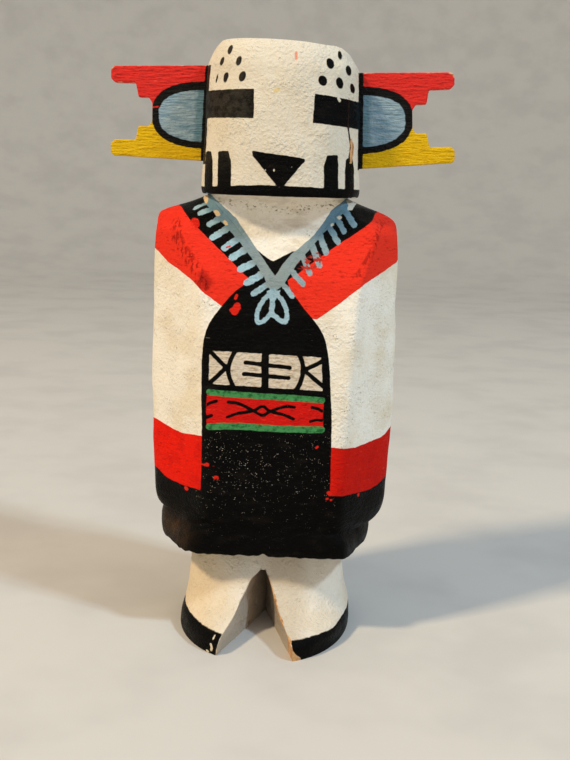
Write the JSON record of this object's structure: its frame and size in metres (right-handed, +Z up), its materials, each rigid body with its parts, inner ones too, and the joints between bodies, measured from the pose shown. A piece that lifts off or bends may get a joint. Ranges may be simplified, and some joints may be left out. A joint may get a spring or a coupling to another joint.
{
  "type": "kachina doll",
  "caption": "Standing carved wooden kachina doll with a cylindrical mask, stepped flat ears, a faceted robe and notched feet, painted in red, white, black, yellow, green and blue.",
  "frame": {"origin": "on the table, under the middle of the doll's bounding box", "axes": "+Z up along the doll, the doll faces -Y, +X to the right of a viewer in front of it"},
  "size_m": [0.1258, 0.0704, 0.2164],
  "materials": {
    "painted_body": "matt earth paint over a white ground on carved cottonwood, with brush marks and pores",
    "painted_ears": "matt red, yellow and blue paint on thin sawn wood, with worn edges"
  },
  "bodies": {
    "root": {"carved_figure": "painted_body", "left_ear": "painted_ears", "right_ear": "painted_ears"}
  },
  "joints": []
}
